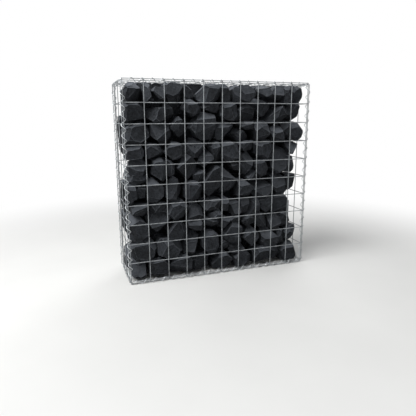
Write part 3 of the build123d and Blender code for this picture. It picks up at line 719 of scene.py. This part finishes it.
def stones_of(node):
    """Each stone of a course as a block of its own, from a merged copy of the course's mesh."""
    shell = bmesh.new()
    shell.from_mesh(node.data)
    bmesh.ops.remove_doubles(shell, verts=shell.verts, dist=SAME_CORNER)
    shell.verts.index_update()
    taken = set()
    for first in shell.verts:
        if first.index in taken:
            continue
        taken.add(first.index)
        corners = [first]
        for corner in corners:
            for edge in corner.link_edges:
                other = edge.other_vert(corner)
                if other.index not in taken:
                    taken.add(other.index)
                    corners.append(other)
        block = bmesh.new()
        places = {corner.index: block.verts.new(corner.co) for corner in corners}
        for face in shell.faces:
            if face.verts[0].index in places:
                block.faces.new([places[corner.index] for corner in face.verts])
        bmesh.ops.dissolve_limit(block, angle_limit=SAME_FACE, verts=block.verts, edges=block.edges)
        bmesh.ops.recalc_face_normals(block, faces=block.faces)
        yield block
    shell.free()


def split_off(block, place, direction):
    """Takes off what lies beyond a plane, and closes the block again."""
    cut = bmesh.ops.bisect_plane(block, geom=[*block.verts, *block.edges, *block.faces],
                                 dist=SAME_CORNER, plane_co=place, plane_no=direction,
                                 clear_outer=True)
    rim = [part for part in cut["geom_cut"]
           if isinstance(part, bmesh.types.BMEdge) and part.is_boundary]
    if rim:
        for face in bmesh.ops.contextual_create(block, geom=rim)["faces"]:
            face.normal_update()
            if face.normal.dot(direction) < 0:
                face.normal_flip()


def front_of(block, outward):
    """The largest face of a block that looks this way out of the wall."""
    facing = [face for face in block.faces if face.normal.dot(outward) > OUTWARD_SHARE]
    return max(facing, key=lambda face: face.calc_area()) if facing else None


def break_facet(block, outward, bearing, width, slope):
    """Breaks a facet off one side of a block's front, this wide as it is seen."""
    front = front_of(block, outward)
    if front is None:
        return
    level = BACK if outward.x else RIGHT
    steep = BACK if outward.z else UP
    turn = math.radians(bearing)
    sideways = level * math.cos(turn) + steep * math.sin(turn)
    within = (sideways - front.normal * sideways.dot(front.normal)).normalized()
    centre = front.calc_center_median()
    reaches = [(corner.co - centre).dot(within) for corner in front.verts]
    rim = max(reaches)
    span = rim - min(reaches)
    place = centre + within * (rim - min(width, span * LARGEST_FACET))
    split_off(block, place, front.normal * math.cos(slope) + within * math.sin(slope))


def split_corner(block, centre, bearing, depth):
    """Splits a corner off a block right through the layer, this deep."""
    turn = math.radians(bearing)
    direction = Vector((math.cos(turn), 0, math.sin(turn)))
    rim = max((corner.co - centre).dot(direction) for corner in block.verts)
    split_off(block, centre + direction * (rim - depth), direction)


def chosen(table, centre):
    """What a table of the seen face holds for the stone with this centre."""
    found = []
    for along, up, bearing, size in table:
        if math.hypot(along / 100 - 0.5 - centre.x, up / 100 + face_foot - centre.z) < SAME_STONE:
            found.append((bearing, size))
    return found


def knock_chips(block, look, centre, outward, chance):
    """Knocks chips off a stone of the seen face, at corners on its outer half."""
    block.verts.ensure_lookup_table()
    for number in range(look.chips):
        corner = block.verts[chance.randrange(len(block.verts))]
        wander = Vector([chance.gauss(0, CHIP_WANDER) for axis in range(3)])
        direction = ((corner.co - centre).normalized() + wander).normalized()
        reach = (corner.co - centre).dot(direction)
        if outward == -BACK and reach > 0 and (corner.co - centre).dot(outward) > 0:
            depth = reach * look.chip_depth * chance.uniform(*CHIP_SHARE)
            split_off(block, corner.co - direction * depth, direction)
        block.verts.ensure_lookup_table()


def chipped(block, look, outward):
    """Splits corners off a quarried block, breaks facets off its outer sides and chips it.

    Returns the stone's own chance, which its later draws come from.
    """
    centre = sum((corner.co for corner in block.verts), Vector()) / len(block.verts)
    chance = random.Random(f"{look.seed} {centre.x:.3f} {centre.y:.3f} {centre.z:.3f}")
    on_face = outward == -BACK
    splits = chosen(SPLITS, centre) or [(chance.uniform(0, 360), chance.uniform(*SPLIT_DEPTH))]
    if on_face:
        for bearing, depth in splits:
            split_corner(block, centre, bearing, depth / 100)
    facets = chosen(FACETS, centre) if on_face else []
    if not facets:
        for number in range(FIRST_ON_FACE if on_face else FIRST_AT_REAR):
            bearing = chance.uniform(*FIRST_BEARING) + number * NEXT_BEARING
            facets.append((bearing, chance.uniform(*FIRST_WIDTH)))
    facets.append((chance.uniform(*FOOT_BEARING), chance.uniform(*FOOT_WIDTH)))
    for bearing, width in facets:
        slope = math.radians(chance.uniform(*FACET_SLOPE))
        break_facet(block, outward, bearing, width / 100, slope)
    low, high = cad_box
    sides = ((-RIGHT, centre.x - low.x), (RIGHT, high.x - centre.x), (UP, high.z - centre.z))
    for side, room in sides:
        if room < look.seen_rim * END_REACH:
            first = chance.uniform(0, 360)
            for quarter in END_BEARINGS:
                bearing = first + quarter + chance.uniform(*END_TURN)
                width = chance.uniform(*END_WIDTH)
                break_facet(block, side, bearing, width, math.radians(chance.uniform(*END_SLOPE)))
    knock_chips(block, look, centre, outward, chance)
    return chance


def fracture(point, shift):
    """How deep a broken face lies at a point, from 0 at its crest to 1: swells, ledges and grit."""
    place = point + shift
    swell = noise.fractal(place * SWELLS, 1.0, 2.0, 2) * 0.5 + 0.5
    bend = Vector([noise.noise(place * BENDS + axis * AXIS_STEP) for axis in (RIGHT, BACK, UP)])
    ledge = noise.cell(place * LEDGES + bend * BEND) * 0.5 + 0.5
    grit = noise.noise(place * GRIT) * 0.5 + 0.5
    return min(1.0, max(0.0, SWELL_SHARE * swell + LEDGE_SHARE * ledge + GRIT_SHARE * grit))


def worn_edges(block, width):
    """A block with a narrow worn face along each of its edges, in place of the one given.

    Its corners and faces come in an order set by their places, so that each run goes on alike.
    """
    arris = block.faces.layers.float.new("worn")
    edges = [edge for edge in block.edges if edge.calc_face_angle(0.0) > SHARP_EDGE]
    made = bmesh.ops.bevel(block, geom=edges, offset=width, segments=1, profile=0.6,
                           affect="EDGES", clamp_overlap=True)
    for face in made["faces"]:
        face[arris] = 1.0
    ranked = sorted(block.verts, key=lambda corner: tuple(round(part, 6) for part in corner.co))
    rank = {corner: number for number, corner in enumerate(ranked)}
    outlines = []
    for face in block.faces:
        outline = [rank[corner] for corner in face.verts]
        first = outline.index(min(outline))
        outlines.append((outline[first:] + outline[:first], face[arris]))
    ordered = bmesh.new()
    arris = ordered.faces.layers.float.new("worn")
    corners = [ordered.verts.new(corner.co) for corner in ranked]
    for outline, value in sorted(outlines):
        ordered.faces.new([corners[number] for number in outline])[arris] = value
    ordered.normal_update()
    block.free()
    return ordered


def roughen(block, look, shift, seen):
    """Breaks up a block's faces into hollows and ledges, finer where the stone is seen.

    Its worn faces are shaded apart from the broad ones.
    """
    arris = block.faces.layers.float["worn"]
    bmesh.ops.triangulate(block, faces=block.faces[:])
    for number in range(HALVINGS):
        long_edges = []
        for edge in block.edges:
            middle = (edge.verts[0].co + edge.verts[1].co) / 2
            detail = look.seen_detail if seen(middle) else look.hidden_detail
            if edge.calc_length() > detail * HALVE_OVER:
                long_edges.append(edge)
        if not long_edges:
            break
        bmesh.ops.subdivide_edges(block, edges=long_edges, cuts=1)
        halved = [face for face in block.faces if len(face.verts) > 3]
        bmesh.ops.triangulate(block, faces=halved, quad_method="SHORT_EDGE")
    block.normal_update()
    moves = []
    for corner in block.verts:
        worn = any(face[arris] > 0.5 for face in corner.link_faces)
        depth = look.relief if seen(corner.co) and not worn else look.relief * CALM_RELIEF
        moves.append((corner, corner.normal * fracture(corner.co, shift) * depth))
    for corner, move in moves:
        corner.co -= move
    for edge in block.edges:
        edge.smooth = len({face[arris] > 0.5 for face in edge.link_faces}) == 1


def dressed_course(name, node, look, outward, seen):
    """One course of stones in one mesh, each with its own tone."""
    whole = bmesh.new()
    whole.verts.layers.float.new("tone")
    whole.faces.layers.float.new("worn")
    for block in stones_of(node):
        chance = chipped(block, look, outward)
        block = worn_edges(block, look.arris)
        shift = [chance.uniform(-PATTERN_SHIFT, PATTERN_SHIFT) for axis in range(3)]
        roughen(block, look, Vector(shift), seen)
        tone = block.verts.layers.float.new("tone")
        value = chance.random()
        for corner in block.verts:
            corner[tone] = value
        one = bpy.data.meshes.new("stone")
        block.to_mesh(one)
        block.free()
        whole.from_mesh(one)
        bpy.data.meshes.remove(one)
    bmesh.ops.recalc_face_normals(whole, faces=whole.faces)
    mesh = bpy.data.meshes.new(name)
    whole.to_mesh(mesh)
    whole.free()
    mesh.shade_smooth()
    made = bpy.data.objects.new(name, mesh)
    bpy.context.scene.collection.objects.link(made)
    return made


def dress_courses(context, names, outward):
    """Breaks up the stones of some courses and gives them the stone's finish."""
    look = context.scene.gabion_stone
    material = bpy.data.materials.get("Broken basalt") or basalt(look)
    low, high = cad_box

    def seen(place):
        rooms = (place.y - low.y, high.y - place.y, place.x - low.x, high.x - place.x,
                 high.z - place.z)
        return min(rooms) < look.seen_rim

    for name in names:
        label = name.replace("course", "stones")
        piece = dressed_course(label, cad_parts[name], look, outward, seen)
        piece.data.materials.append(material)
        stands_for(piece, "basalt", name)


class GABION_OT_face_stones(bpy.types.Operator):
    """The stones of the seen face, course by course"""

    bl_idname = "gabion.face_stones"
    bl_label = "Face Stones"

    def execute(self, context):
        dress_courses(context, FACE_COURSES, -BACK)
        return {"FINISHED"}


class GABION_OT_rear_stones(bpy.types.Operator):
    """The stones of the rear layer, course by course"""

    bl_idname = "gabion.rear_stones"
    bl_label = "Rear Stones"

    def execute(self, context):
        dress_courses(context, REAR_COURSES, BACK)
        return {"FINISHED"}


# Stage

# The camera, from a fit to the crossings of the wires in the photo: its place, sensor, lens and
# nearest view, and how far it is turned from straight back, dipped and rolled
CAMERA_PLACE = Vector((-0.774, -2.107, 0.8445))
CAMERA_SENSOR = 36.0
CAMERA_LENS = 34.70
CAMERA_NEAR = 0.05
CAMERA_TURN = math.radians(-19.547)
CAMERA_DIP = math.radians(12.745)
CAMERA_ROLL = math.radians(-0.233)

# Each lamp's name, its setting, its width and its place. All look at the middle of the wall.
LAMPS = (
    ("Key lamp", "key", 2.6, Vector((-2.1, -0.9, 3.4))),
    ("Fill lamp", "fill", 3.0, Vector((1.2, -4.2, 1.9))),
    ("Rear lamp", "rear", 3.0, Vector((2.2, 3.0, 3.4))),
)
WALL_MIDDLE = Vector((0, 0, 0.5))

# The floor's half width, and how far out it has faded into the backdrop, as a share of the lit
# floor's reach
FLOOR_REACH = 14.0
FADED_AT = 2.5

SKY_COLOUR = linear("#f7faff")


class GABION_OT_stage(bpy.types.Operator):
    """A pale floor, soft studio light, a white backdrop and the camera"""

    bl_idname = "gabion.stage"
    bl_label = "Stage"

    def execute(self, context):
        scene = context.scene
        look = scene.gabion_stage
        self.make_floor(scene, look)
        self.make_world(scene, look)
        for name, setting, width, place in LAMPS:
            self.make_lamp(scene, name, getattr(look, setting), width, place)
        self.make_camera(scene)
        scene.view_settings.view_transform = "Standard"
        return {"FINISHED"}

    def make_floor(self, scene, look):
        """A wide pale floor that fades into the backdrop away from the wall."""
        material, tree, place = new_material("Pale studio floor")
        cloud = add(tree, "ShaderNodeTexNoise", Vector=place, Scale=cells(333.3), Detail=3.0)
        base = tuple(look.floor)
        colour = add(tree, "ShaderNodeValToRGB", cloud,
                     stops=[(0.3, toned(base, 0.97)), (0.7, base)])
        lit = add(tree, "ShaderNodeBsdfPrincipled", Base_Color=colour, Roughness=0.9)
        away = add(tree, "ShaderNodeVectorMath", place, operation="LENGTH")
        fading = add(tree, "ShaderNodeMapRange", interpolation_type="SMOOTHSTEP", Value=away,
                     From_Min=look.floor_lit, From_Max=look.floor_lit * FADED_AT)
        to_camera = add(tree, "ShaderNodeLightPath").outputs["Is Camera Ray"]
        faded = add(tree, "ShaderNodeMath", to_camera, fading, operation="MULTIPLY")
        white = add(tree, "ShaderNodeEmission", Color=grey(1.0), Strength=1.0)
        mixed = add(tree, "ShaderNodeMixShader", faded, lit, white)
        add(tree, "ShaderNodeOutputMaterial", Surface=mixed)
        mesh = bpy.data.meshes.new("floor")
        half = FLOOR_REACH
        mesh.from_pydata([(-half, -half, 0), (half, -half, 0), (half, half, 0), (-half, half, 0)],
                         [], [(0, 1, 2, 3)])
        mesh.materials.append(material)
        floor = bpy.data.objects.new("floor", mesh)
        scene.collection.objects.link(floor)

    def make_world(self, scene, look):
        """White where the camera sees it, straight or in a reflection, and a dim sky elsewhere."""
        world = bpy.data.worlds.new("Studio")
        world.use_nodes = True
        tree = world.node_tree
        tree.nodes.clear()
        rays = add(tree, "ShaderNodeLightPath").outputs
        either = add(tree, "ShaderNodeMath", rays["Is Glossy Ray"], rays["Is Transmission Ray"],
                     operation="MAXIMUM")
        seen = add(tree, "ShaderNodeMath", rays["Is Camera Ray"], either, operation="MAXIMUM")
        sky = add(tree, "ShaderNodeBackground", Color=SKY_COLOUR, Strength=look.sky)
        white = add(tree, "ShaderNodeBackground", Color=grey(1.0), Strength=1.0)
        mixed = add(tree, "ShaderNodeMixShader", seen, sky, white)
        add(tree, "ShaderNodeOutputWorld", Surface=mixed)
        scene.world = world

    def make_lamp(self, scene, name, power, width, place):
        """A round lamp that looks at the middle of the wall."""
        light = bpy.data.lights.new(name, "AREA")
        light.shape = "DISK"
        light.size = width
        light.energy = power
        lamp = bpy.data.objects.new(name, light)
        scene.collection.objects.link(lamp)
        lamp.location = place
        lamp.rotation_euler = (WALL_MIDDLE - place).to_track_quat("-Z", "Y").to_euler()

    def make_camera(self, scene):
        """The camera where the photo was taken from."""
        optics = bpy.data.cameras.new("Camera")
        optics.sensor_width = CAMERA_SENSOR
        optics.lens = CAMERA_LENS
        optics.clip_start = CAMERA_NEAR
        camera = bpy.data.objects.new("Camera", optics)
        scene.collection.objects.link(camera)
        turn = Matrix.Rotation(CAMERA_TURN, 4, "Z")
        tilt = Matrix.Rotation(math.radians(90) - CAMERA_DIP, 4, "X")
        roll = Matrix.Rotation(CAMERA_ROLL, 4, "Z")
        camera.matrix_world = Matrix.Translation(CAMERA_PLACE) @ turn @ tilt @ roll
        scene.camera = camera


class GABION_PT_panel(bpy.types.Panel):
    """The gabion's pieces and their settings"""

    bl_idname = "GABION_PT_panel"
    bl_label = "Gabion Wall"
    bl_space_type = "VIEW_3D"
    bl_region_type = "UI"
    bl_category = "Gabion"

    def draw(self, context):
        layout = self.layout
        for title, group, operators in (
            ("Wires", context.scene.gabion_wires, ("gabion.welded_mesh", "gabion.spiral_binders")),
            ("Stones", context.scene.gabion_stone, ("gabion.face_stones", "gabion.rear_stones")),
            ("Stage", context.scene.gabion_stage, ("gabion.stage",)),
        ):
            box = layout.box()
            box.label(text=title)
            for setting in group.__annotations__:
                box.prop(group, setting)
            for operator in operators:
                box.operator(operator)


CLASSES = (
    WireSizes, StoneLook, StageLook, GABION_OT_welded_mesh, GABION_OT_spiral_binders,
    GABION_OT_face_stones, GABION_OT_rear_stones, GABION_OT_stage, GABION_PT_panel,
)


def register():
    for each in CLASSES:
        bpy.utils.register_class(each)
    bpy.types.Scene.gabion_wires = bpy.props.PointerProperty(type=WireSizes)
    bpy.types.Scene.gabion_stone = bpy.props.PointerProperty(type=StoneLook)
    bpy.types.Scene.gabion_stage = bpy.props.PointerProperty(type=StageLook)


def unregister():
    del bpy.types.Scene.gabion_stage
    del bpy.types.Scene.gabion_stone
    del bpy.types.Scene.gabion_wires
    for each in reversed(CLASSES):
        bpy.utils.unregister_class(each)


def main():
    register()
    bpy.ops.gabion.stage()
    bpy.ops.gabion.welded_mesh()
    bpy.ops.gabion.spiral_binders()
    bpy.ops.gabion.face_stones()
    bpy.ops.gabion.rear_stones()


if __name__ == "__main__":
    main()
